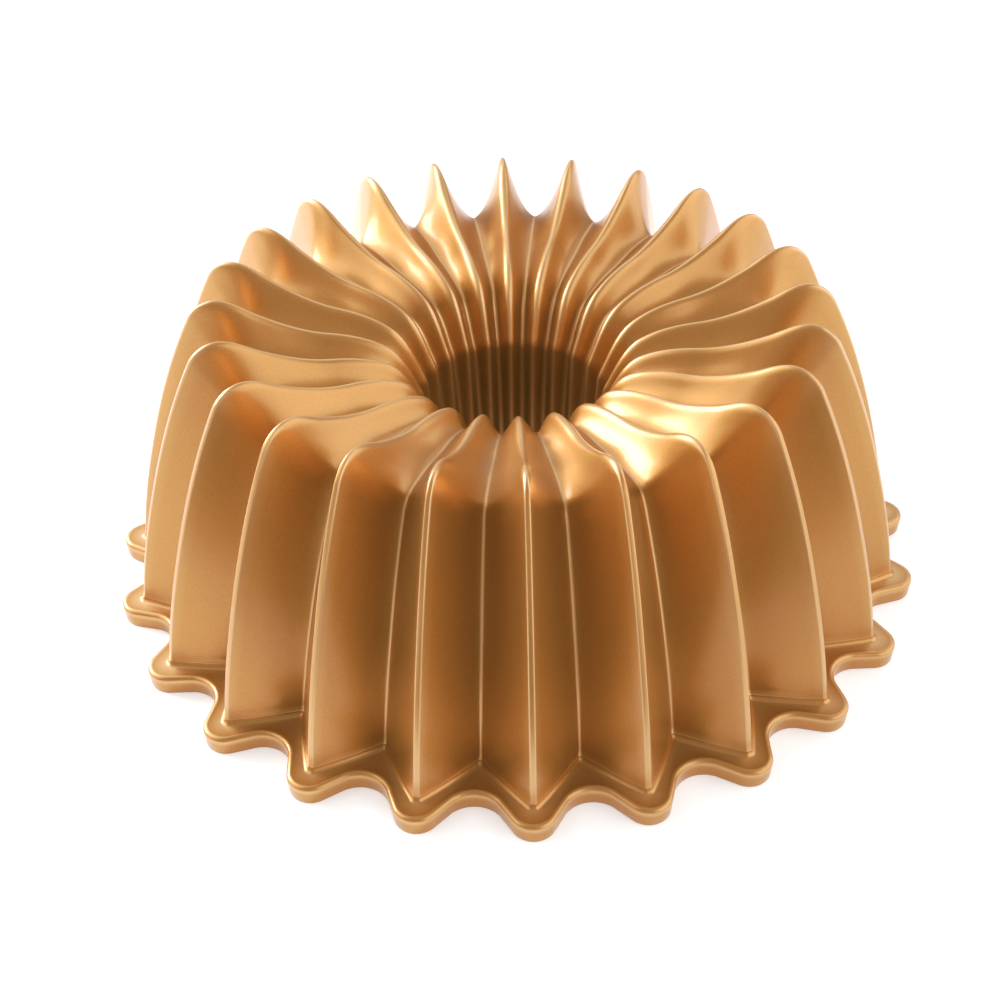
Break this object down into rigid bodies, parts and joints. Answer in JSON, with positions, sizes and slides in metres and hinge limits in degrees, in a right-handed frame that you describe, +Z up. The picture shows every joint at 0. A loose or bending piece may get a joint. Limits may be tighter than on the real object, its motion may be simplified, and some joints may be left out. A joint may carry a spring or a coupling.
{
  "type": "ring cake pan",
  "caption": "Cast ring cake pan, open side down, with a sharply fluted wall, a scalloped flat rim and an open ribbed tube in the middle.",
  "frame": {"origin": "centre of the rest plane, on the axis of the tube, under the rim", "axes": "+Z up along the axis of the tube, from the open side to the crests; one crest points to -Y, the front"},
  "size_m": [0.265, 0.265, 0.0968],
  "materials": {
    "coated_aluminium": "satin",
    "release_coating": "satin"
  },
  "bodies": {
    "root": {"pan_casting": "coated_aluminium", "release_lining": "release_coating"}
  },
  "joints": []
}
